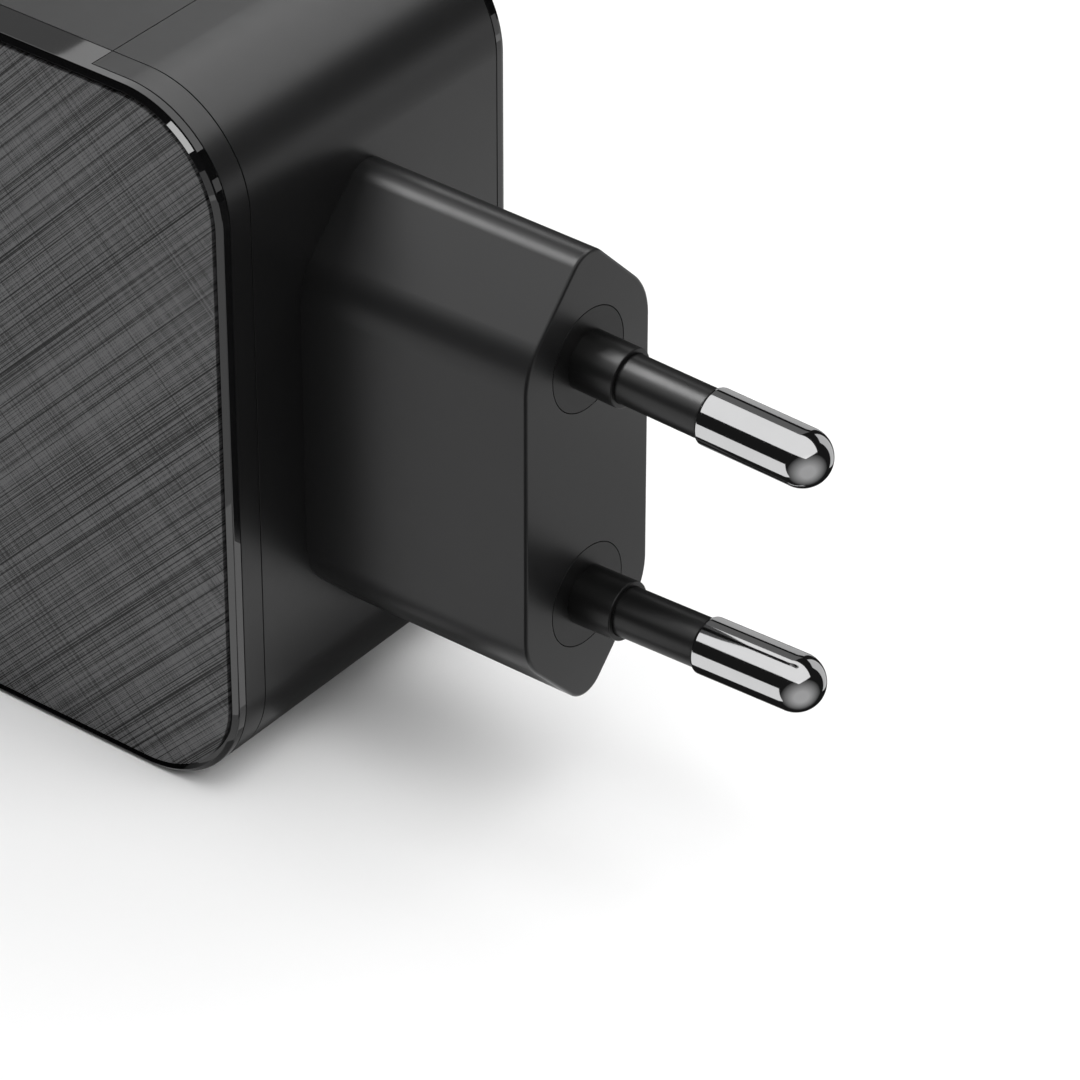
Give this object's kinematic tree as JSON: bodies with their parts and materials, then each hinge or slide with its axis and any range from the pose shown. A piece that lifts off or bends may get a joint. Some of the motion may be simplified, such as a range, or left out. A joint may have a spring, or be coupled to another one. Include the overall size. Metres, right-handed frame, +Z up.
{
  "type": "usb wall charger",
  "caption": "Mains wall charger with a flat two-pin plug on its rear face, USB ports on the opposite face and textured side panels in glossy frames.",
  "frame": {"origin": "centre of the plug's engagement face, midway between the two pins", "axes": "+Y out along the pins, +Z up with the pins one above the other, +X towards the side whose cover has the extra seam"},
  "size_m": [0.0292, 0.0873, 0.0538],
  "materials": {
    "matte_shell": "fine satin moulded polycarbonate",
    "gloss_black": "piano-black polished moulding",
    "brushed_panel": "film panel with a crossed brushed pattern",
    "adhesive": "double-sided tape",
    "pin_plating": "bright nickel plate on brass",
    "pin_sleeve": "satin insulating sleeve",
    "pin_bush": "satin moulded insert",
    "contact_brass": "stamped brass strip",
    "circuit_board": "green solder mask on fibreglass",
    "insulation_film": "thin fibre and film insulation",
    "spreader_aluminium": "plain aluminium sheet",
    "thermal_silicone": "soft thermal pad",
    "ferrite": "ground dark ferrite",
    "choke_ferrite": "coated ring ferrite",
    "black_moulding": "black glass-filled moulding",
    "copper_wire": "enamelled copper wire",
    "yellow_tape": "polyester winding tape",
    "capacitor_sleeve": "shrink sleeve over an aluminium can",
    "yellow_box": "film capacitor case",
    "blue_disc": "dipped ceramic disc",
    "green_disc": "dipped thermistor disc",
    "chip_package": "moulded chip package",
    "capacitor_can": "plain aluminium can",
    "inductor_block": "pressed metal-powder block",
    "port_steel": "nickel-plated drawn steel",
    "gold_contact": "gold-flashed contacts"
  },
  "bodies": {
    "root": {"rear_shell": "matte_shell", "front_shell": "matte_shell", "rear_band": "matte_shell", "side_frame_right": "gloss_black", "side_frame_left": "gloss_black", "side_panel_right": "brushed_panel", "side_panel_left": "brushed_panel", "panel_tape_right": "adhesive", "panel_tape_left": "adhesive", "port_fascia": "gloss_black", "pin_upper": "pin_plating", "pin_lower": "pin_plating", "pin_sleeve_upper": "pin_sleeve", "pin_sleeve_lower": "pin_sleeve", "pin_bush_upper": "pin_bush", "pin_bush_lower": "pin_bush", "contact_strip_upper": "contact_brass", "contact_strip_lower": "contact_brass", "main_board": "circuit_board", "port_board": "circuit_board", "insulation_sheet": "insulation_film", "isolation_barrier": "insulation_film", "heat_spreader_right": "spreader_aluminium", "heat_spreader_left": "spreader_aluminium", "thermal_pad": "thermal_silicone", "transformer_core_inner": "ferrite", "transformer_core_outer": "ferrite", "transformer_bobbin": "black_moulding", "primary_winding": "copper_wire", "secondary_winding": "copper_wire", "winding_tape": "yellow_tape", "bulk_capacitor_1": "capacitor_sleeve", "bulk_capacitor_2": "capacitor_sleeve", "bulk_capacitor_3": "capacitor_sleeve", "x_capacitor": "yellow_box", "y_capacitor": "blue_disc", "choke_core": "choke_ferrite", "choke_winding_live": "copper_wire", "choke_winding_neutral": "copper_wire", "fuse": "black_moulding", "inrush_thermistor": "green_disc", "bridge_rectifier": "chip_package", "primary_switch": "chip_package", "primary_controller": "chip_package", "optocoupler": "chip_package", "sync_rectifier": "chip_package", "output_capacitor_1": "capacitor_can", "output_capacitor_2": "capacitor_can", "output_inductor_1": "inductor_block", "output_inductor_2": "inductor_block", "port_controller": "chip_package", "usb_c_shell_upper": "port_steel", "usb_c_shell_middle": "port_steel", "usb_c_tongue_upper": "black_moulding", "usb_c_tongue_middle": "black_moulding", "usb_c_contacts": "gold_contact", "usb_a_shell": "port_steel", "usb_a_tongue": "black_moulding", "usb_a_contacts": "gold_contact"}
  },
  "joints": []
}
